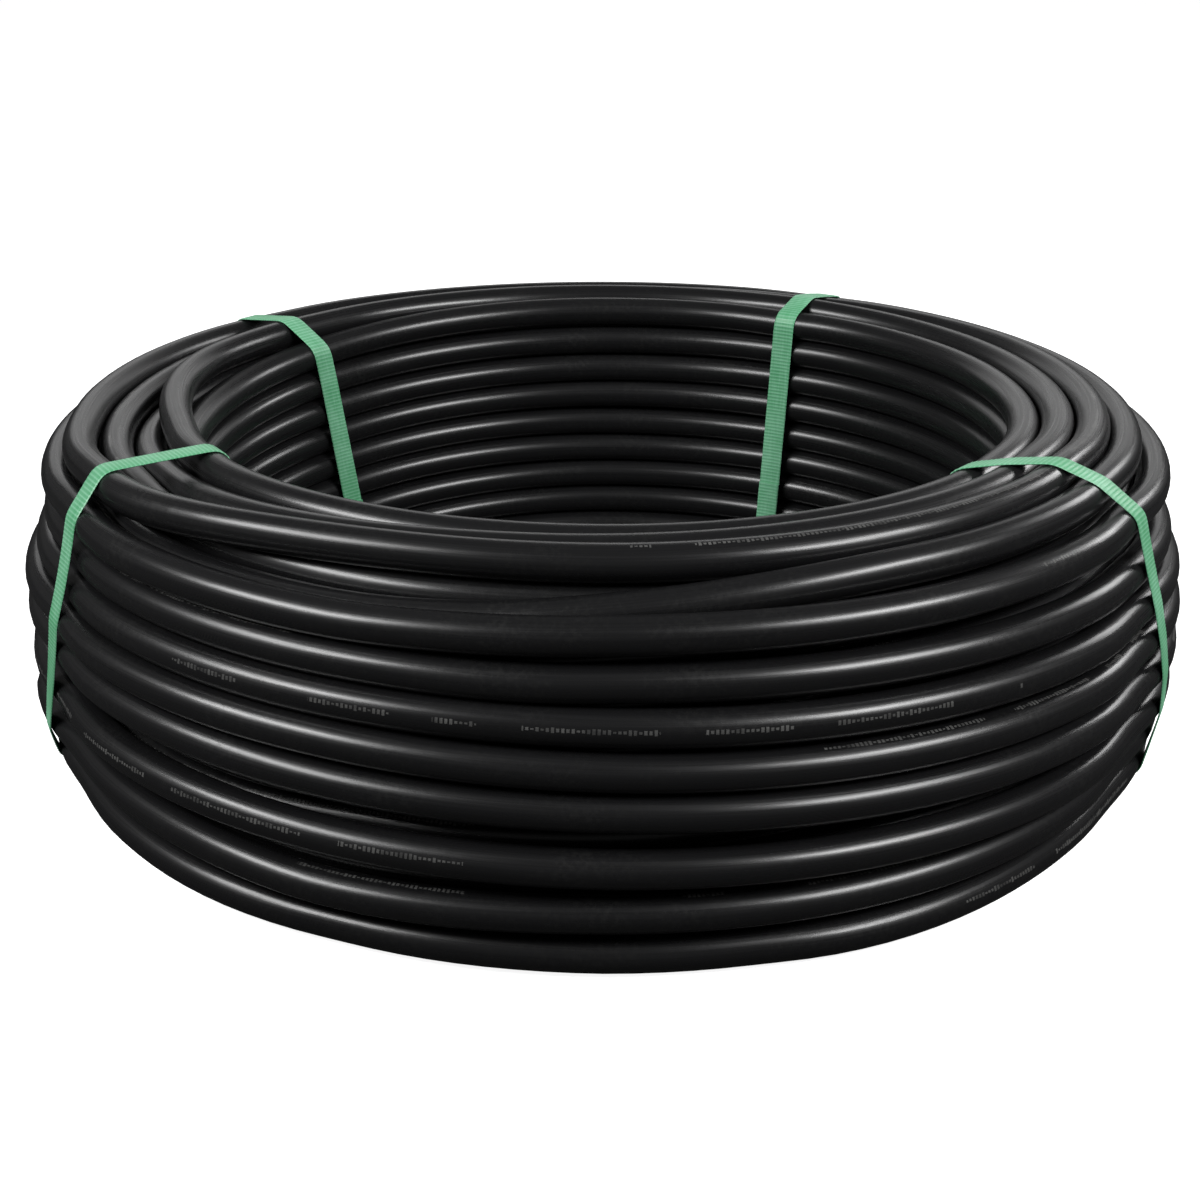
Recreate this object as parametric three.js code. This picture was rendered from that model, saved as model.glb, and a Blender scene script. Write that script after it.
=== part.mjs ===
// A flat-lying coil of black polyethylene irrigation hose, wound in five layers and
// bound by four embossed plastic straps. Millimetres, +Z up. The origin is on the
// surface that the coil lies on, at the middle of the coil's eye. Angles round the coil
// are seen from above: 0 is the front, -Y, and they grow towards +X.
import * as THREE from 'three';

// Hose
const hoseDiameter = 16;
const boreDiameter = 13;

// Coil: the layers of turns from the eye outwards, with the height of each layer's lowest
// and highest point and its number of whole turns. The top falls towards the outside.
const eyeRadius = 200;
const layerPitch = 17.25;
const standOff = 1;
const layers = [
  { base: 17.6, top: 168, turns: 9 },
  { base: standOff, top: 168, turns: 10 },
  { base: standOff, top: 165, turns: 9 },
  { base: standOff, top: 160, turns: 9 },
  { base: standOff, top: 135.4, turns: 7 },
];
const layerGap = 0.3;
const around = 36;
const sideArc = 0.9;
const capLean = 0.5;
const capSlope = 3.7;

// The first turn of the innermost layer, under it, and the last turn of the outermost
// layer, on top of it. Each lies shift nearer to the open side than its layer, and runs
// from the angle where it joins the layer to the angle of its cut face.
const ends = [
  { name: 'hose_end_inner', layer: 0, shift: -0.5, from: -518, to: -180, base: standOff },
  { name: 'hose_end_outer', layer: 4, shift: 0.5, from: 518, to: 180, base: 136 },
];
const endSides = 8;
const endStepAngle = 8;

// Straps
const strapWidth = 12.5;
const strapThickness = 0.7;
const strapGap = 0.3;
const eyeClearance = 1.1;
const endClearance = 0.6;
const cornerSteps = 24;
const straps = [
  { name: 'front_left', angle: -61 },
  { name: 'front_right', angle: 60 },
  { name: 'rear_right', angle: 150 },
  { name: 'rear_left', angle: 228 },
];

// The welded lap of each strap, where the end of the band lies over its start in the eye
const lapLength = 34;
const lapHeight = 30;

const hoseRadius = hoseDiameter / 2;
const layerRadius = (layer) => eyeRadius + hoseRadius + layer * layerPitch;
const endRadius = ({ layer, shift }) => layerRadius(layer) + shift;
const radians = THREE.MathUtils.degToRad;

const hoseBlack = () => new THREE.MeshStandardMaterial({ color: 0x17181a, roughness: 0.42, metalness: 0 });
const strapGreen = () => new THREE.MeshStandardMaterial({ color: 0x6fbf8c, roughness: 0.55, metalness: 0 });

const coil = new THREE.Group();

function addPart(name, geometry, material) {
  const mesh = new THREE.Mesh(geometry, material);
  mesh.name = name;
  coil.add(mesh);
  return mesh;
}

// One side of a layer, from its lowest turn to its highest, as points of radius and height.
// side is 1 for the outer side and -1 for the side to the eye. A side that shows is
// scalloped by its turns, and a side that lies on the next layer is straight.
function layerSide(layer, side) {
  const { base, top, turns } = layers[layer];
  const radius = layerRadius(layer);
  const shows = (side === 1 && layer === layers.length - 1) || (side === -1 && layer === 0);
  if (!shows) {
    const wall = radius + side * (layerPitch - layerGap) / 2;
    return [[wall, base + capSlope], [wall, top - capSlope]];
  }
  const points = [];
  const pitch = (top - base - hoseDiameter) / (turns - 1);
  for (let turn = 0; turn < turns; turn += 1) {
    const centre = base + hoseRadius + turn * pitch;
    for (const angle of [-sideArc, 0, sideArc]) {
      points.push([radius + side * hoseRadius * Math.cos(angle), centre + hoseRadius * Math.sin(angle)]);
    }
    if (turn < turns - 1) points.push([radius + side * hoseRadius / 3, centre + pitch / 2]);
  }
  return points;
}

function layerRing(layer) {
  const { base, top } = layers[layer];
  const radius = layerRadius(layer);
  const capPoint = (lean) => [radius + hoseRadius * Math.sin(lean), hoseRadius * (1 - Math.cos(lean))];
  const cap = [-capLean, 0, capLean].map(capPoint);
  const profile = [
    ...cap.map(([r, sag]) => [r, base + sag]),
    ...layerSide(layer, 1),
    ...cap.reverse().map(([r, sag]) => [r, top - sag]),
    ...layerSide(layer, -1).reverse(),
  ];
  profile.push(profile[0]);
  const ring = new THREE.LatheGeometry(profile.map(([r, z]) => new THREE.Vector2(r, z)), around);
  return ring.rotateX(Math.PI / 2);
}

// The centreline of an end turn, level and centred on the coil
class TurnCurve extends THREE.Curve {
  constructor(radius, from, to) {
    super();
    Object.assign(this, { radius, from, to });
  }

  getPoint(share, target = new THREE.Vector3()) {
    const angle = radians(THREE.MathUtils.lerp(this.from, this.to, share));
    return target.set(this.radius * Math.sin(angle), -this.radius * Math.cos(angle), 0);
  }
}

function ringShape(outer, inner, sides) {
  const corner = (radius, index) => {
    const angle = (index + 0.5) * 2 * Math.PI / sides;
    return new THREE.Vector2(radius * Math.cos(angle), radius * Math.sin(angle));
  };
  const outline = (radius) => Array.from({ length: sides }, (_, index) => corner(radius, index));
  const shape = new THREE.Shape(outline(outer));
  shape.holes.push(new THREE.Path(outline(inner).reverse()));
  return shape;
}

function endTurn(end) {
  const path = new TurnCurve(endRadius(end), end.from, end.to);
  const steps = Math.round(Math.abs(end.to - end.from) / endStepAngle);
  const section = ringShape(hoseRadius, boreDiameter / 2, endSides);
  return new THREE.ExtrudeGeometry(section, { steps, extrudePath: path });
}

// The outline of the whole coil's section at a distance from its turns, as the convex
// hull of the lowest and highest turn of every layer and the end turns
function sectionOutline(distance) {
  const corners = layers.flatMap(({ base, top }, layer) => {
    const radius = layerRadius(layer) - (layer === 0 ? eyeClearance : 0);
    return [[radius, base + hoseRadius], [radius, top - hoseRadius]];
  });
  for (const end of ends) {
    corners.push([endRadius(end) + Math.sign(end.shift) * endClearance, end.base + hoseRadius]);
  }
  const reach = hoseRadius + distance;
  const points = corners.flatMap(([radius, height]) => Array.from({ length: cornerSteps }, (_, step) => {
    const angle = step * 2 * Math.PI / cornerSteps;
    return new THREE.Vector2(radius + reach * Math.cos(angle), height + reach * Math.sin(angle));
  }));
  return convexHull(points);
}

function convexHull(points) {
  const sorted = [...points].sort((a, b) => a.x - b.x || a.y - b.y);
  const half = (list) => {
    const chain = [];
    for (const point of list) {
      while (chain.length > 1 && turnsRight(chain.at(-2), chain.at(-1), point)) chain.pop();
      chain.push(point);
    }
    return chain.slice(0, -1);
  };
  return [...half(sorted), ...half(sorted.reverse())];
}

function turnsRight(a, b, c) {
  return (b.x - a.x) * (c.y - a.y) - (b.y - a.y) * (c.x - a.x) <= 1e-6;
}

// Lays a shape of radius and height across the coil at an angle, centred on its depth
function layAcross(mesh, angle) {
  mesh.geometry.translate(0, 0, -strapWidth / 2).rotateX(Math.PI / 2);
  mesh.rotation.z = radians(angle - 90);
}

layers.forEach((_, layer) => {
  addPart(`hose_layer_${layer + 1}`, layerRing(layer), hoseBlack());
});

for (const end of ends) {
  addPart(end.name, endTurn(end), hoseBlack()).position.z = end.base + hoseRadius;
}

const bandInside = sectionOutline(strapGap);
const bandOutside = sectionOutline(strapGap + strapThickness);
const bandEyeSide = Math.min(...bandOutside.map((point) => point.x));

for (const { name, angle } of straps) {
  const loop = new THREE.Shape(bandOutside);
  loop.holes.push(new THREE.Path([...bandInside].reverse()));
  const band = new THREE.ExtrudeGeometry(loop, { depth: strapWidth, bevelEnabled: false });
  layAcross(addPart(`strap_${name}`, band, strapGreen()), angle);

  const lapFace = bandEyeSide - strapGap;
  const lap = new THREE.Shape([
    new THREE.Vector2(lapFace - strapThickness, lapHeight),
    new THREE.Vector2(lapFace, lapHeight),
    new THREE.Vector2(lapFace, lapHeight + lapLength),
    new THREE.Vector2(lapFace - strapThickness, lapHeight + lapLength),
  ]);
  const tail = new THREE.ExtrudeGeometry(lap, { depth: strapWidth, bevelEnabled: false });
  layAcross(addPart(`strap_lap_${name}`, tail, strapGreen()), angle);
}

export default coil;
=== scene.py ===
import math
import bpy
import numpy as np
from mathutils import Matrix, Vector


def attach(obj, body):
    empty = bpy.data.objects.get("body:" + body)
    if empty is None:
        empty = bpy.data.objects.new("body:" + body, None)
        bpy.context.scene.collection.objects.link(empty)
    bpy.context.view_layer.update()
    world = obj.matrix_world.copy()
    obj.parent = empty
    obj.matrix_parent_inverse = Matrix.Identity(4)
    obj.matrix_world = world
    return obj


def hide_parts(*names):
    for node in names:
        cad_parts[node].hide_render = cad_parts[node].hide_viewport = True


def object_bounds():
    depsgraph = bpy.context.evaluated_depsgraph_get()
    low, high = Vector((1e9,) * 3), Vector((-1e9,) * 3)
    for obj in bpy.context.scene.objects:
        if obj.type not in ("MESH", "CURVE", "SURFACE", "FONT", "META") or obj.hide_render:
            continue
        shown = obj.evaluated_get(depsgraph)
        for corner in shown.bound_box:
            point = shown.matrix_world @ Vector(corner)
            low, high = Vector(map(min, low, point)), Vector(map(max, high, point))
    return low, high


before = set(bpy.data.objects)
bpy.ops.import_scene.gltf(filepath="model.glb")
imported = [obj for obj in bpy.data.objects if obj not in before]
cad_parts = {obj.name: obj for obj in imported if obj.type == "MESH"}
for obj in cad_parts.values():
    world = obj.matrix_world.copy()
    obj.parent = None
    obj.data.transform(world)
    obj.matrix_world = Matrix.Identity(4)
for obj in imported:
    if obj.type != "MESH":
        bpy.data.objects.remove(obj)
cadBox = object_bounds()

cameraSetup = {
    "place": (0.0, -0.9634, 0.4313),
    "aim": (-0.002, 0.0, 0.055),
    "lens": 60.0,
    "sensor": 36.0,
}


def addObject(name, data):
    obj = bpy.data.objects.new(name, data)
    bpy.context.scene.collection.objects.link(obj)
    return obj


def selectOnly(obj):
    bpy.ops.object.select_all(action="DESELECT")
    obj.select_set(True)
    bpy.context.view_layer.objects.active = obj


def placeAndAim(obj, place, aim):
    obj.location = place
    look = Vector(aim) - Vector(place)
    obj.rotation_euler = look.to_track_quat("-Z", "Y").to_euler()


def makeCamera():
    camera = bpy.data.cameras.new("camera")
    camera.lens = cameraSetup["lens"]
    camera.sensor_width = cameraSetup["sensor"]
    obj = addObject("camera", camera)
    placeAndAim(obj, cameraSetup["place"], cameraSetup["aim"])
    bpy.context.scene.camera = obj


makeCamera()
print("camera placed")

# A turn is counted from the front, clockwise seen from above: turn 0.25 is the left side,
# 0.5 the back and 0.75 the right side. The hose is one line of turns from the inner end,
# up and down through five layers, to the outer end. The winding is in millimetres.
winding = {
    "columns": 144,  # points in each turn
    "diameter": 16.0,
    "clearance": 0.15,
    "floor": 9.0,  # the least height of the hose's centre
    "layerPitch": 17.25,
    "tightPitch": 16.15,
    "eyeCentre": 208.0,
    "eyeCentreTight": 206.2,
    "tightAbove": (85.0, 50.0),  # the layers close up from the first height, over the second
    "tightBelow": (40.0, 25.0),
    "relaxSteps": 160,
    "relaxShare": 0.45,
}
# A slow and a quick wave that beat together, and a fine one: each is a rate and a phase
waves = {
    "size": 0.45,
    "height": {"slow": (2.3, 1.0), "quick": (11.1, 0.0), "fine": (17.3, 2.0), "fineShare": 0.6},
    "radius": {"slow": (1.7, 0.0), "quick": (9.7, 0.5), "fine": (15.1, 0.0), "fineShare": 0.5},
}
# A layer runs between two turns and climbs in steps: share is how much of the climb is done
# in the part climbWidth of each turn that starts at climbAt. It lies flat at both ends.
layers = [
    {"from": 0.5, "to": 10.2, "low": 9.0, "high": 160.0, "flatLow": 0.3, "flatHigh": 0.1,
     "climbAt": 0.17, "climbWidth": 0.33, "share": 0.85},
    {"from": 10.31, "to": 19.85, "low": 9.0, "high": 163.0, "flatLow": 0.3, "flatHigh": 0.1,
     "climbAt": 0.02, "climbWidth": 0.27, "share": 0.85},
    {"from": 19.97, "to": 28.03, "low": 9.0, "high": 163.0, "flatLow": 0.9, "flatHigh": 0.35,
     "climbAt": 0.0, "climbWidth": 1.0, "share": 0.0},
    {"from": 28.22, "to": 37.45, "low": 9.0, "high": 159.0, "flatLow": 0.9, "flatHigh": 0.1,
     "climbAt": 0.92, "climbWidth": 0.15, "share": 0.85},
    # the outermost layer's height at each turn, listed one by one, where its turns lie unevenly
    {"from": 37.6, "to": 45.5, "rows": (
        (37.6, 9.0), (38.0, 9.0), (38.12, 11.0), (38.25, 16.0), (38.42, 24.0),
        (39.0, 29.5), (39.25, 34.0), (39.42, 40.5), (40.0, 50.5), (41.0, 75.0), (42.0, 92.5),
        (43.0, 110.0), (43.75, 121.0), (44.0, 127.0), (44.25, 124.0), (44.5, 130.0),
        (44.72, 143.0), (45.0, 145.5), (45.2, 138.0), (45.36, 139.0), (45.5, 146.0))},
]
# The outermost layer lies higher on the left than on the right, between two heights
outerTilt = {"rise": 6.0, "from": 20.0, "over": 60.0, "until": 112.0, "fadeOver": 26.0}
# The outer layers draw in towards the top, and most of all at the sides
shoulder = {"from": 96.0, "over": 40.0, "inset": 7.0, "frontShare": 0.3, "sideShare": 0.7}
# The turn that crosses to the fourth layer stands out
bulge = {"turn": 28.165, "width": 0.055, "out": 6.0}
# The lowest turns draw in on both sides of the front
foot = {"height": 60.0, "over": 40.0, "shift": 5.5, "azimuth": 55.0, "width": 22.0}
# Azimuths are in degrees from the front towards the right. A strap leans by leanOut from the
# middle of the coil's section to its outer side, and by leanDown and sweep down to its foot.
straps = {
    "front_left": {"azimuth": -58.9, "leanOut": 0.4, "leanDown": 4.3, "sweep": -19.8},
    "front_right": {"azimuth": 56.0, "leanOut": 4.5, "leanDown": 2.0, "sweep": 10.0},
    "rear_right": {"azimuth": 148.0, "leanOut": 0.0, "leanDown": 3.0, "sweep": 0.0},
    "rear_left": {"azimuth": 233.0, "leanOut": 0.0, "leanDown": -9.0, "sweep": 0.0},
}
# Each strap draws the layers in, the outer ones most
pinch = {"width": 6.0, "depth": 0.9}


def easeStep(x):
    x = np.clip(x, 0.0, 1.0)
    return x * x * (3.0 - 2.0 * x)


def climbed(turn, layer):
    shifted = turn - layer["climbAt"]
    stepped = np.floor(shifted) + easeStep((shifted - np.floor(shifted)) / layer["climbWidth"])
    return (1.0 - layer["share"]) * turn + layer["share"] * (stepped + layer["climbAt"])


def heightIn(index, turn):
    layer = layers[index]
    if "rows" in layer:
        heights = np.interp(turn, *zip(*layer["rows"]))
        tilt = outerTilt["rise"] * easeStep((heights - outerTilt["from"]) / outerTilt["over"])
        tilt = tilt * (1.0 - easeStep((heights - outerTilt["until"]) / outerTilt["fadeOver"]))
        return heights + tilt * np.sin(2 * np.pi * turn)
    levels = [(layer["low"], layer["flatLow"]), (layer["high"], layer["flatHigh"])]
    (start, flatStart), (end, flatEnd) = levels if index % 2 == 0 else levels[::-1]
    first, last = layer["from"] + flatStart, layer["to"] - flatEnd
    stepsBefore = climbed(np.float64(first), layer)
    done = climbed(np.clip(turn, first, last), layer) - stepsBefore
    return start + (end - start) * done / (climbed(np.float64(last), layer) - stepsBefore)


def plannedLine():
    # position is 0 in the innermost layer and 4 in the outermost
    count = winding["columns"]
    turn = np.arange(round(layers[0]["from"] * count), round(layers[-1]["to"] * count) + 1) / count
    position = np.zeros_like(turn)
    height = heightIn(0, turn)
    for index in range(1, len(layers)):
        before, after = layers[index - 1]["to"], layers[index]["from"]
        share = easeStep((turn - before) / (after - before))
        position += share
        height = height * (1 - share) + heightIn(index, turn) * share
    return turn, position, height


def strapAzimuth(strap, out, down):
    # out is -1 at the eye and 1 at the outside, and down is 0 at the top and 1 at the bottom
    lean = strap["azimuth"] + strap["leanOut"] * out
    return lean + strap["leanDown"] * down + strap["sweep"] * down ** 2


def radiusAt(turn, position, height):
    azimuth = -360.0 * turn
    above, aboveOver = winding["tightAbove"]
    below, belowOver = winding["tightBelow"]
    tight = np.maximum(easeStep((height - above) / aboveOver), easeStep((below - height) / belowOver))
    pitch = winding["layerPitch"] + tight * (winding["tightPitch"] - winding["layerPitch"])
    first = winding["eyeCentre"] + tight * (winding["eyeCentreTight"] - winding["eyeCentre"])
    radius = first + pitch * position
    outer = (position / (len(layers) - 1)) ** 2
    aside = np.sin(np.radians(azimuth)) ** 2
    inset = shoulder["inset"] * outer * easeStep((height - shoulder["from"]) / shoulder["over"])
    radius -= inset * (shoulder["frontShare"] + shoulder["sideShare"] * aside)
    radius += bulge["out"] * np.exp(-((turn - bulge["turn"]) / bulge["width"]) ** 2)
    fromFront = np.abs((azimuth + 180.0) % 360.0 - 180.0)
    footShare = easeStep((foot["height"] - height) / foot["over"])
    radius -= foot["shift"] * footShare * np.exp(-((fromFront - foot["azimuth"]) / foot["width"]) ** 2)
    for strap in straps.values():
        off = (azimuth - strapAzimuth(strap, 0.0, 0.5) + 180.0) % 360.0 - 180.0
        radius -= pinch["depth"] * position * np.exp(-(off / pinch["width"]) ** 2)
    return radius


def relaxed(radius, height):
    # turns that lie in one another at the same azimuth are pushed apart, a little at each step
    count = winding["columns"]
    first = round(layers[0]["from"] * count)
    total = math.ceil((first + len(radius)) / count)
    grid = np.full((2, total * count), np.nan)
    used = slice(first, first + len(radius))
    grid[0, used], grid[1, used] = radius, height
    wanted = winding["diameter"] + winding["clearance"]
    for _ in range(winding["relaxSteps"]):
        points = grid.reshape(2, total, count)
        gap = points[:, :, None, :] - points[:, None, :, :]
        distance = np.hypot(gap[0], gap[1])
        inside = (distance < wanted) & (distance > 0)
        overlap = (wanted - distance) * winding["relaxShare"]
        push = np.where(inside, overlap / np.where(inside, distance, 1.0), 0.0)
        shift = np.nansum(np.where(inside, gap * push, 0.0), axis=2).reshape(2, -1)[:, used]
        smooth = shift.copy()
        smooth[:, 1:-1] = (shift[:, :-2] + 2 * shift[:, 1:-1] + shift[:, 2:]) / 4
        grid[:, used] += smooth
        grid[1, used] = np.maximum(grid[1, used], winding["floor"])
    return grid[0, used], grid[1, used]


def wave(turn, slow, quick, fine, fineShare):
    (slowRate, slowPhase), (quickRate, quickPhase), (fineRate, finePhase) = slow, quick, fine
    beat = np.sin(slowRate * turn + slowPhase) * np.sin(quickRate * turn + quickPhase)
    return waves["size"] * (beat + fineShare * np.sin(fineRate * turn + finePhase))


def windHose():
    turn, position, height = plannedLine()
    height = np.maximum(height + wave(turn, **waves["height"]), winding["floor"])
    radius = radiusAt(turn, position, height) + wave(turn, **waves["radius"])
    return turn, *relaxed(radius, height)


def runAlong(points):
    # the distance of every point from the first one, along the line
    return np.concatenate([[0.0], np.cumsum(np.linalg.norm(np.diff(points, axis=0), axis=1))])


turn, turnRadius, turnHeight = windHose()
turnAngle = -2 * np.pi * turn
centreLine = np.stack([
    turnRadius * np.sin(turnAngle), -turnRadius * np.cos(turnAngle), turnHeight,
], axis=1) / 1000
lengths = runAlong(centreLine)
print(f"hose wound: {lengths[-1]:.1f} m in {turn[-1] - turn[0]:.1f} turns")

# The hose, and from here on all that is built, is in metres
hose = {
    "diameter": winding["diameter"] / 1000,
    "bore": 0.013,
    "sides": 24,
    "boreDepth": 0.05,
    "endChamfer": 0.0006,
    "smoothAngle": 35,
}


def sectionFrames(points):
    along = np.gradient(points, axis=0)
    along /= np.linalg.norm(along, axis=1)[:, None]
    outward = np.stack([points[:, 0], points[:, 1], np.zeros(len(points))], axis=1)
    outward -= along * np.sum(along * outward, axis=1)[:, None]
    outward /= np.linalg.norm(outward, axis=1)[:, None]
    return outward, np.cross(along, outward)


def hoseRings(first, last, openStart, openEnd):
    # each ring has a point of the centre line, a distance along from it and a radius
    full, bore = hose["diameter"] / 2, hose["bore"] / 2
    chamfer, deep = hose["endChamfer"], hose["boreDepth"]
    rings = [(index, 0.0, full) for index in range(first, last + 1)]
    if openStart:
        rings[:1] = [(first, deep, bore), (first, 0.0, bore),
                     (first, 0.0, full - chamfer), (first, chamfer, full)]
    if openEnd:
        rings[-1:] = [(last, -chamfer, full), (last, 0.0, full - chamfer),
                      (last, 0.0, bore), (last, -deep, bore)]
    return [np.array(column) for column in zip(*rings)]


def hoseMesh(name, first, last, openStart, openEnd):
    outward, up = sectionFrames(centreLine)
    index, travel, size = hoseRings(first, last, openStart, openEnd)
    where = lengths[index] + travel
    centre = np.stack([np.interp(where, lengths, centreLine[:, axis]) for axis in range(3)], axis=1)
    sides = hose["sides"]
    angles = 2 * np.pi * np.arange(sides) / sides
    spread = np.cos(angles)[None, :, None] * outward[index][:, None, :]
    spread = spread + np.sin(angles)[None, :, None] * up[index][:, None, :]
    points = (centre[:, None, :] + size[:, None, None] * spread).reshape(-1, 3)
    starts = np.arange(len(index) - 1)[:, None] * sides
    here = starts + np.arange(sides)[None, :]
    there = starts + (np.arange(sides)[None, :] + 1) % sides
    quads = np.stack([there, there + sides, here + sides, here], axis=2).reshape(-1, 4)
    startCap = list(range(sides))[::-1]
    endCap = list(range(len(points) - sides, len(points)))
    mesh = bpy.data.meshes.new(name)
    mesh.from_pydata(points.tolist(), [], quads.tolist() + [startCap, endCap])
    # the hose's own UV: metres along it, and its share of the way round
    uv = np.zeros((len(quads), 4, 2))
    ringOf = np.repeat(np.arange(len(index) - 1), sides)
    sideOf = np.tile(np.arange(sides), len(index) - 1)
    for corner, (ringStep, sideStep) in enumerate(((0, 1), (1, 1), (1, 0), (0, 0))):
        uv[:, corner, 0] = where[ringOf + ringStep]
        uv[:, corner, 1] = (sideOf + sideStep) / sides
    capUv = np.zeros(2 * sides * 2)
    mesh.uv_layers.new(name="alongHose").data.foreach_set("uv", np.concatenate([uv.ravel(), capUv]))
    obj = addObject(name, mesh)
    selectOnly(obj)
    bpy.ops.object.shade_smooth_by_angle(angle=math.radians(hose["smoothAngle"]))
    return obj


def runBounds():
    # the hose's runs meet halfway through each crossing to the next layer
    count = winding["columns"]
    firstPoint = round(layers[0]["from"] * count)
    crossings = [(before["to"] + after["from"]) / 2 for before, after in zip(layers, layers[1:])]
    return [0, *[round(crossing * count) - firstPoint for crossing in crossings], len(turn) - 1]


hosePieces = []
hoseEnds = {0: ["hose_end_inner"], len(layers) - 1: ["hose_end_outer"]}
bounds = runBounds()
for index, (first, last) in enumerate(zip(bounds, bounds[1:])):
    piece = hoseMesh(f"hose_run_{index + 1}", first, last, index == 0, index == len(layers) - 1)
    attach(piece, "root")
    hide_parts(f"hose_layer_{index + 1}", *hoseEnds.get(index, []))
    hosePieces.append(piece)
    print(f"run {index + 1}: {lengths[last] - lengths[first]:.2f} m")

strapBand = {
    "width": 0.0125,
    "thickness": 0.0007,
    "edge": 0.0004,
    "gap": 0.0003,
    "step": 0.0004,
    "ribPitch": 0.002,
    "ribHeight": 0.00018,
    "lapLength": 0.034,
    "lapHeight": 0.030,
    "eyeSide": 0.004,  # the lap lies on the part of the band this near to the eye
    "cornerStep": 6,  # degrees
    "leanSteps": 4,
    "softSteps": 40,
    "smoothAngle": 40,
}
# The coil's section, for the straps' lean
section = {"middle": 0.2425, "half": 0.0425, "height": 0.17}


def convexHull(points):
    points = sorted(map(tuple, points))
    halves = []
    for ordered in (points, points[::-1]):
        chain = []
        for point in ordered:
            while len(chain) > 1:
                (ax, ay), (bx, by) = chain[-2], chain[-1]
                if (bx - ax) * (point[1] - ay) - (by - ay) * (point[0] - ax) > 0:
                    break
                chain.pop()
            chain.append(point)
        halves.append(chain[:-1])
    return np.array(halves[0] + halves[1])


def azimuthOver(strap, radius, height):
    out = (radius - section["middle"]) / section["half"]
    return strapAzimuth(strap, out, 1.0 - height / section["height"])


def turnsUnder(strap):
    # where the hose passes below the leaning strap, found closer and closer in a few steps
    found = []
    for whole in range(int(turn[0]) - 1, int(turn[-1]) + 2):
        place = whole + (-strap["azimuth"] / 360.0) % 1.0
        for _ in range(strapBand["leanSteps"]):
            if not turn[0] <= place <= turn[-1]:
                break
            radius = np.interp(place, turn, turnRadius) / 1000
            height = np.interp(place, turn, turnHeight) / 1000
            place = whole + (-azimuthOver(strap, radius, height) / 360.0) % 1.0
        if turn[0] <= place <= turn[-1]:
            found.append((radius, height))
    return found


def strapLoop(strap, reach):
    # the outline of the turns under a strap, in even steps, with its corners softened
    angles = np.radians(np.arange(0, 360, strapBand["cornerStep"]))
    corners = []
    for radius, height in turnsUnder(strap):
        for angle in angles:
            corners.append((radius + reach * math.cos(angle), height + reach * math.sin(angle)))
    loop = convexHull(corners)
    loop = np.vstack([loop, loop[:1]])
    run = runAlong(loop)
    places = np.linspace(0.0, run[-1], round(run[-1] / strapBand["step"]), endpoint=False)
    even = np.stack([np.interp(places, run, loop[:, 0]), np.interp(places, run, loop[:, 1])], axis=1)
    for _ in range(strapBand["softSteps"]):
        even = (np.roll(even, 1, axis=0) + 2 * even + np.roll(even, -1, axis=0)) / 4
    return places, even


def bandProfile():
    # the band's section, as places across it, heights and whether the ribs raise them
    half, thick, edge = strapBand["width"] / 2, strapBand["thickness"], strapBand["edge"]
    return [(-half, thick * 0.5, 0.0), (-half + edge, thick, 0.0), (-half + 2 * edge, thick, 1.0),
            (0.0, thick, 1.0), (half - 2 * edge, thick, 1.0), (half - edge, thick, 0.0),
            (half, thick * 0.5, 0.0), (half - edge, 0.0, 0.0), (-half + edge, 0.0, 0.0)]


def bandPoints(strap, places, path, closed, lift):
    if closed:
        heading = np.roll(path, -1, axis=0) - np.roll(path, 1, axis=0)
    else:
        heading = np.gradient(path, axis=0)
    heading /= np.linalg.norm(heading, axis=1)[:, None]
    normal = np.stack([heading[:, 1], -heading[:, 0]], axis=1)
    rib = strapBand["ribHeight"] * (0.5 + 0.5 * np.cos(2 * np.pi * places / strapBand["ribPitch"]))
    azimuth = np.radians(azimuthOver(strap, path[:, 0], path[:, 1]))
    outward = np.stack([np.sin(azimuth), -np.cos(azimuth), np.zeros(len(path))], axis=1)
    sideways = np.stack([np.cos(azimuth), np.sin(azimuth), np.zeros(len(path))], axis=1)
    lines = []
    for across, height, ribbed in bandProfile():
        flat = path + normal * (lift + height + ribbed * rib)[:, None]
        lines.append(outward * flat[:, :1] + sideways * across + np.array([0, 0, 1.0]) * flat[:, 1:])
    return np.stack(lines, axis=1).reshape(-1, 3)


def bandMesh(name, strap, places, path, closed, lift=0.0):
    across = [corner[0] for corner in bandProfile()]
    wide, total = len(across), len(path)
    stops = np.append(places, places[-1] + strapBand["step"])
    faces = []
    uv = []
    for ring in range(total if closed else total - 1):
        for corner in range(wide):
            after = (corner + 1) % wide
            quad = ((ring, corner), (ring, after), (ring + 1, after), (ring + 1, corner))
            faces.append([step % total * wide + side for step, side in quad])
            uv += [(stops[step], across[side]) for step, side in quad]
    if not closed:
        faces.append(list(range(wide))[::-1])
        faces.append([(total - 1) * wide + corner for corner in range(wide)])
    mesh = bpy.data.meshes.new(name)
    mesh.from_pydata(bandPoints(strap, places, path, closed, lift).tolist(), [], faces)
    layer = mesh.uv_layers.new(name="alongStrap")
    for loop, place in enumerate(uv):
        layer.data[loop].uv = place
    obj = addObject(name, mesh)
    selectOnly(obj)
    bpy.ops.object.mode_set(mode="EDIT")
    bpy.ops.mesh.select_all(action="SELECT")
    bpy.ops.mesh.normals_make_consistent(inside=False)
    bpy.ops.object.mode_set(mode="OBJECT")
    bpy.ops.object.shade_smooth_by_angle(angle=math.radians(strapBand["smoothAngle"]))
    return obj


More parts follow.
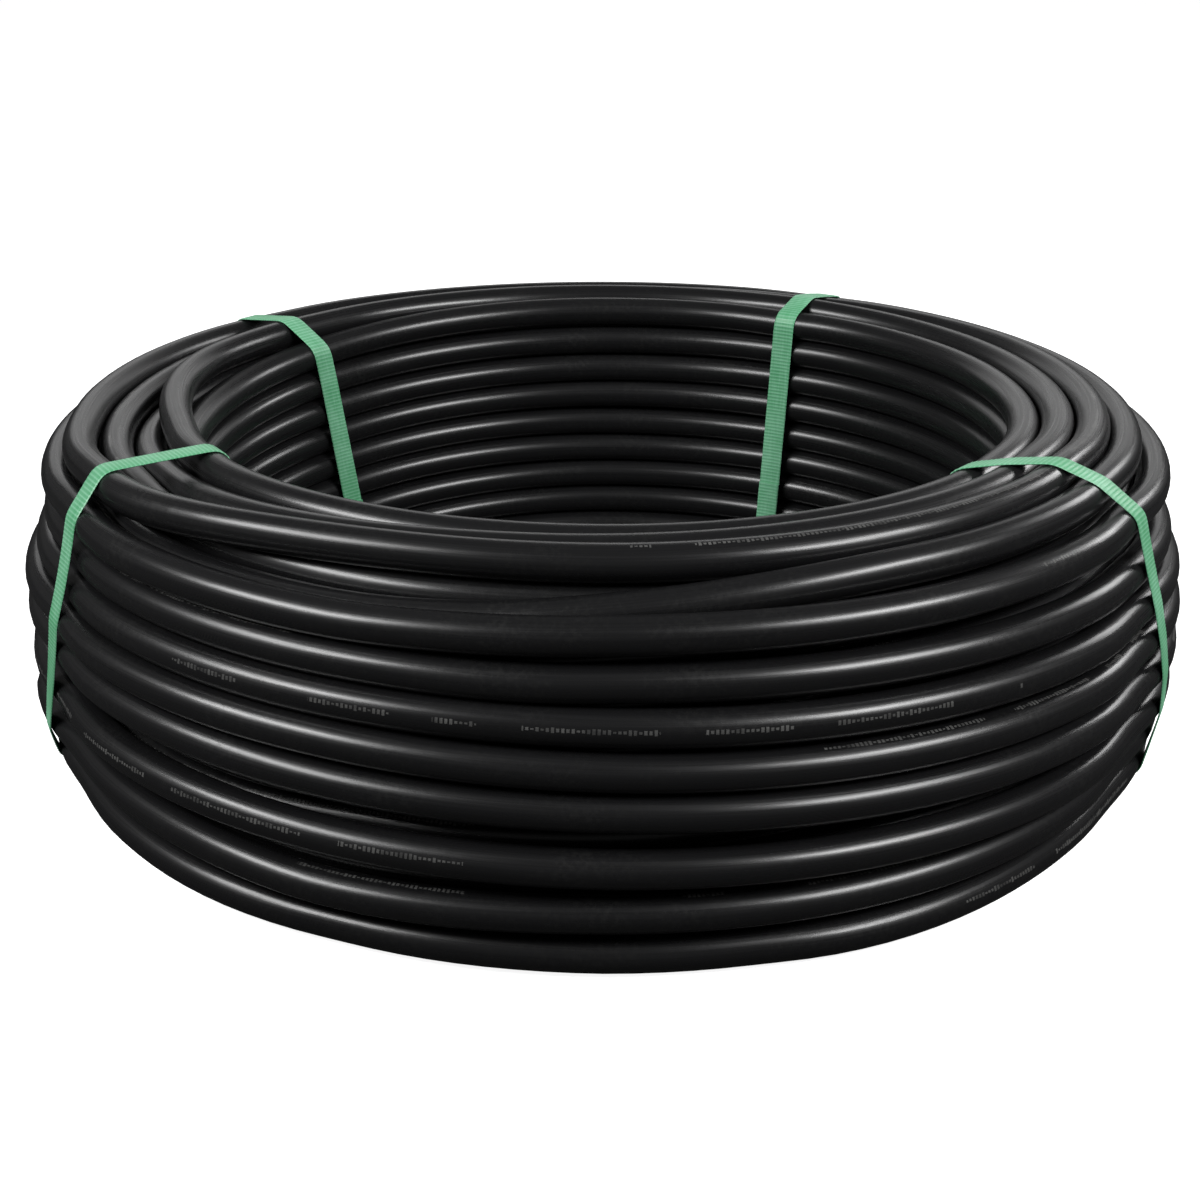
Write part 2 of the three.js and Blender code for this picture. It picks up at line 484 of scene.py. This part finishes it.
strapPieces = []
for name, strap in straps.items():
    places, loop = strapLoop(strap, hose["diameter"] / 2 + strapBand["gap"])
    band = bandMesh(f"strap_{name}_band", strap, places, loop, True)
    low, high = strapBand["lapHeight"], strapBand["lapHeight"] + strapBand["lapLength"]
    inEye = loop[:, 0] < loop[:, 0].min() + strapBand["eyeSide"]
    picked = np.nonzero(inEye & (low <= loop[:, 1]) & (loop[:, 1] <= high))[0]
    lap = bandMesh(f"strap_{name}_lap", strap, places[picked], loop[picked], False,
                   strapBand["thickness"] + strapBand["ribHeight"])
    for piece, node in ((band, f"strap_{name}"), (lap, f"strap_lap_{name}")):
        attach(piece, "root")
        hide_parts(node)
        strapPieces.append(piece)
    print(f"strap {name}: {places[-1] * 1000:.0f} mm round")

hoseLook = {
    "colour": (0.0075, 0.0075, 0.008),
    "dustColour": (0.022, 0.022, 0.021),
    "printColour": (0.1, 0.1, 0.097),
    "roughness": (0.24, 0.34),
    "dustRoughness": 0.15,
    "lineStretch": 1.2,
    "lineDepth": 0.00004,
    "lineStrength": 0.6,
    "lineRange": (0.3, 0.7),
    "dustRange": (0.45, 0.8, 0.0, 0.5),
    "speckRange": (0.45, 0.7),
    "wearRange": (0.35, 0.6, 0.35, 1.0),
    # scale, detail and roughness of each noise
    "lines": (9.0, 3.0, 0.6),
    "dust": (24.0, 5.0, 0.65),
    "specks": (420.0, 2.0, 0.6),
    "wear": (90.0, 3.0, 0.6),
}
# Lengths along the hose are in metres, and those round it are shares of the way round
hosePrint = {
    "every": 1.0,
    "printed": 0.36,
    "tickPitch": 0.0019,
    "tickShare": 0.62,
    "groupPitch": 0.017,
    "groupsLeftOut": 0.22,
    "middle": 0.13,
    "swing": 0.1,
    "swingRate": 1.37,
    "halfHeight": 0.024,
    "leastTick": 0.25,
    "tickRange": 0.75,
}
strapLook = {
    "colour": (0.088, 0.365, 0.17),
    "paleColour": (0.3, 0.63, 0.43),
    "roughness": (0.36, 0.52),
    "grainRange": (0.3, 0.7),
    "streakStretch": 0.06,
    "streakRange": (0.4, 0.75, 0.0, 0.3),
    "crestRange": (-0.2, 1.0, 0.0, 0.45),
    "fadeRange": (0.4, 0.7, 0.0, 0.35),
    "streaks": (1040.0, 3.0, 0.6),
    "fading": (35.0, 3.0, 0.6),
}


def newMaterial(name):
    material = bpy.data.materials.new(name)
    material.use_nodes = True
    return material, material.node_tree, material.node_tree.nodes["Principled BSDF"]


def calc(tree, operation, first, second=0.0):
    node = tree.nodes.new("ShaderNodeMath")
    node.operation = operation
    for socket, value in zip(node.inputs, (first, second)):
        if isinstance(value, (int, float)):
            socket.default_value = value
        else:
            tree.links.new(value, socket)
    return node.outputs[0]


def noiseOf(tree, vector, scale, detail, roughness):
    node = tree.nodes.new("ShaderNodeTexNoise")
    node.inputs["Scale"].default_value = scale
    node.inputs["Detail"].default_value = detail
    node.inputs["Roughness"].default_value = roughness
    tree.links.new(vector, node.inputs["Vector"])
    return node.outputs["Fac"]


def ranged(tree, value, low, high, outLow=0.0, outHigh=1.0):
    node = tree.nodes.new("ShaderNodeMapRange")
    tree.links.new(value, node.inputs["Value"])
    node.inputs["From Min"].default_value = low
    node.inputs["From Max"].default_value = high
    node.inputs["To Min"].default_value = outLow
    node.inputs["To Max"].default_value = outHigh
    return node.outputs[0]


def mixColours(tree, factor, first, second):
    node = tree.nodes.new("ShaderNodeMix")
    node.data_type = "RGBA"
    tree.links.new(factor, node.inputs["Factor"])
    for name, value in (("A", first), ("B", second)):
        socket = [item for item in node.inputs if item.name == name and item.type == "RGBA"][0]
        if isinstance(value, tuple):
            socket.default_value = (*value, 1)
        else:
            tree.links.new(value, socket)
    return [item for item in node.outputs if item.type == "RGBA"][0]


def ownUv(tree, name):
    place = tree.nodes.new("ShaderNodeUVMap")
    place.uv_map = name
    parts = tree.nodes.new("ShaderNodeSeparateXYZ")
    tree.links.new(place.outputs[0], parts.inputs[0])
    return parts.outputs[0], parts.outputs[1]


def objectPlace(tree):
    return tree.nodes.new("ShaderNodeTexCoord").outputs["Object"]


def randomAlong(tree, along, pitch):
    # one random value for each stretch of the hose
    noise = tree.nodes.new("ShaderNodeTexWhiteNoise")
    noise.noise_dimensions = "1D"
    tree.links.new(calc(tree, "FLOOR", calc(tree, "DIVIDE", along, pitch)), noise.inputs["W"])
    return noise.outputs["Value"]


def inShare(tree, along, pitch, share):
    # 1 in the first share of each stretch of the hose and 0 in the rest
    return calc(tree, "LESS_THAN", calc(tree, "FRACT", calc(tree, "DIVIDE", along, pitch)), share)


def printMask(tree, along, around):
    # plain ticks in groups, once in every metre, that stand in for the printed line
    look = hosePrint
    printed = inShare(tree, along, look["every"], look["printed"])
    inTick = inShare(tree, along, look["tickPitch"], look["tickShare"])
    group = calc(tree, "GREATER_THAN", randomAlong(tree, along, look["groupPitch"]), look["groupsLeftOut"])
    swing = calc(tree, "SINE", calc(tree, "MULTIPLY", along, look["swingRate"]))
    middle = calc(tree, "ADD", calc(tree, "MULTIPLY", swing, look["swing"]), look["middle"])
    wrapped = calc(tree, "FRACT", calc(tree, "ADD", calc(tree, "SUBTRACT", around, middle), 0.5))
    off = calc(tree, "ABSOLUTE", calc(tree, "SUBTRACT", wrapped, 0.5))
    tick = calc(tree, "MULTIPLY", randomAlong(tree, along, look["tickPitch"]), look["tickRange"])
    height = calc(tree, "MULTIPLY", calc(tree, "ADD", tick, look["leastTick"]), look["halfHeight"])
    inside = calc(tree, "LESS_THAN", off, height)
    return calc(tree, "MULTIPLY", calc(tree, "MULTIPLY", printed, inTick),
                calc(tree, "MULTIPLY", group, inside))


def hoseMaterial():
    material, tree, shader = newMaterial("blackPolyethylene")
    links, look = tree.links, hoseLook
    along, around = ownUv(tree, "alongHose")
    # drawn lines: noise on a circle round the hose, pulled out along it
    angle = calc(tree, "MULTIPLY", around, 2 * math.pi)
    join = tree.nodes.new("ShaderNodeCombineXYZ")
    links.new(calc(tree, "COSINE", angle), join.inputs[0])
    links.new(calc(tree, "SINE", angle), join.inputs[1])
    links.new(calc(tree, "MULTIPLY", along, look["lineStretch"]), join.inputs[2])
    lines = noiseOf(tree, join.outputs[0], *look["lines"])
    spots = objectPlace(tree)
    dusty = calc(tree, "MULTIPLY", ranged(tree, noiseOf(tree, spots, *look["dust"]), *look["dustRange"]),
                 ranged(tree, noiseOf(tree, spots, *look["specks"]), *look["speckRange"]))
    body = mixColours(tree, dusty, look["colour"], look["dustColour"])
    worn = ranged(tree, noiseOf(tree, spots, *look["wear"]), *look["wearRange"])
    mask = calc(tree, "MULTIPLY", printMask(tree, along, around), worn)
    links.new(mixColours(tree, mask, body, look["printColour"]), shader.inputs["Base Color"])
    grain = calc(tree, "ADD", ranged(tree, lines, *look["lineRange"], *look["roughness"]),
                 calc(tree, "MULTIPLY", dusty, look["dustRoughness"]))
    links.new(grain, shader.inputs["Roughness"])
    bump = tree.nodes.new("ShaderNodeBump")
    bump.inputs["Strength"].default_value = look["lineStrength"]
    bump.inputs["Distance"].default_value = look["lineDepth"]
    links.new(lines, bump.inputs["Height"])
    links.new(bump.outputs[0], shader.inputs["Normal"])
    return material


def strapMaterial():
    material, tree, shader = newMaterial("greenStrap")
    links, look = tree.links, strapLook
    along, across = ownUv(tree, "alongStrap")
    join = tree.nodes.new("ShaderNodeCombineXYZ")
    links.new(calc(tree, "MULTIPLY", along, look["streakStretch"]), join.inputs[0])
    links.new(across, join.inputs[1])
    streaks = noiseOf(tree, join.outputs[0], *look["streaks"])
    ribs = calc(tree, "COSINE", calc(tree, "MULTIPLY", along, 2 * math.pi / strapBand["ribPitch"]))
    crest = ranged(tree, ribs, *look["crestRange"])
    faded = ranged(tree, noiseOf(tree, objectPlace(tree), *look["fading"]), *look["fadeRange"])
    pale = calc(tree, "ADD", calc(tree, "ADD", crest, faded), ranged(tree, streaks, *look["streakRange"]))
    clear = tree.nodes.new("ShaderNodeClamp")
    links.new(pale, clear.inputs["Value"])
    links.new(mixColours(tree, clear.outputs[0], look["colour"], look["paleColour"]),
              shader.inputs["Base Color"])
    links.new(ranged(tree, streaks, *look["grainRange"], *look["roughness"]), shader.inputs["Roughness"])
    return material


black = hoseMaterial()
green = strapMaterial()
for piece in hosePieces:
    piece.data.materials.append(black)
for piece in strapPieces:
    piece.data.materials.append(green)
print("hose and straps have their materials")

room = {
    "floorSize": 24.0,
    "floorDrop": 0.0002,
    "floorWhite": 0.9,
    "floorGlow": 0.9,
    "floorSeenByHose": 0.04,
    "world": 0.085,
}


def greyOf(value):
    return (value, value, value, 1)


def floorMaterial():
    # bright where the camera sees it, and dark for the light that it throws on the hose
    material, tree, shader = newMaterial("paleFloor")
    nodes, links = tree.nodes, tree.links
    nodes.remove(shader)
    white = nodes.new("ShaderNodeBsdfDiffuse")
    white.inputs["Color"].default_value = greyOf(room["floorWhite"])
    glow = nodes.new("ShaderNodeEmission")
    glow.inputs["Strength"].default_value = room["floorGlow"]
    bright = nodes.new("ShaderNodeAddShader")
    links.new(white.outputs[0], bright.inputs[0])
    links.new(glow.outputs[0], bright.inputs[1])
    dark = nodes.new("ShaderNodeBsdfDiffuse")
    dark.inputs["Color"].default_value = greyOf(room["floorSeenByHose"])
    path = nodes.new("ShaderNodeLightPath")
    mix = nodes.new("ShaderNodeMixShader")
    links.new(path.outputs["Is Camera Ray"], mix.inputs[0])
    links.new(dark.outputs[0], mix.inputs[1])
    links.new(bright.outputs[0], mix.inputs[2])
    links.new(mix.outputs[0], nodes["Material Output"].inputs["Surface"])
    return material


def makeFloor():
    bpy.ops.object.select_all(action="DESELECT")
    height = cadBox[0][2] - room["floorDrop"]
    bpy.ops.mesh.primitive_plane_add(size=room["floorSize"], location=(0, 0, height))
    floor = bpy.context.object
    floor.name = "floor"
    floor.data.materials.append(floorMaterial())


def makeWorld():
    world = bpy.data.worlds.new("studio")
    bpy.context.scene.world = world
    world.use_nodes = True
    nodes, links = world.node_tree.nodes, world.node_tree.links
    background = nodes["Background"]
    background.inputs["Color"].default_value = greyOf(1)
    path = nodes.new("ShaderNodeLightPath")
    strength = nodes.new("ShaderNodeMapRange")
    strength.inputs["To Min"].default_value = room["world"]
    strength.inputs["To Max"].default_value = 1.0
    links.new(path.outputs["Is Camera Ray"], strength.inputs["Value"])
    links.new(strength.outputs[0], background.inputs["Strength"])


lamps = {
    "leftSoftbox": {"place": (-1.4, -0.7, 1.2), "aim": (0, 0, 0.08), "size": (1.15, 0.42), "power": 30},
    "rightSoftbox": {"place": (1.3, -0.875, 1.2), "aim": (0, 0, 0.08), "size": (1.0, 0.42), "power": 28},
    "sideSoftbox": {"place": (1.5, 1.0, 0.95), "aim": (0, 0, 0.08), "size": (0.5, 0.4), "power": 7},
    "backSoftbox": {"place": (0, 2.4, 0.95), "aim": (0, 0, 0.1), "size": (3.4, 0.8), "power": 8},
}


def makeLamps():
    for name, lamp in lamps.items():
        light = bpy.data.lights.new(name, "AREA")
        light.shape = "RECTANGLE"
        light.size, light.size_y = lamp["size"]
        light.energy = lamp["power"]
        placeAndAim(addObject(name, light), lamp["place"], lamp["aim"])


makeFloor()
makeWorld()
makeLamps()
bpy.context.scene.view_settings.view_transform = "Standard"
print("room and lamps ready")
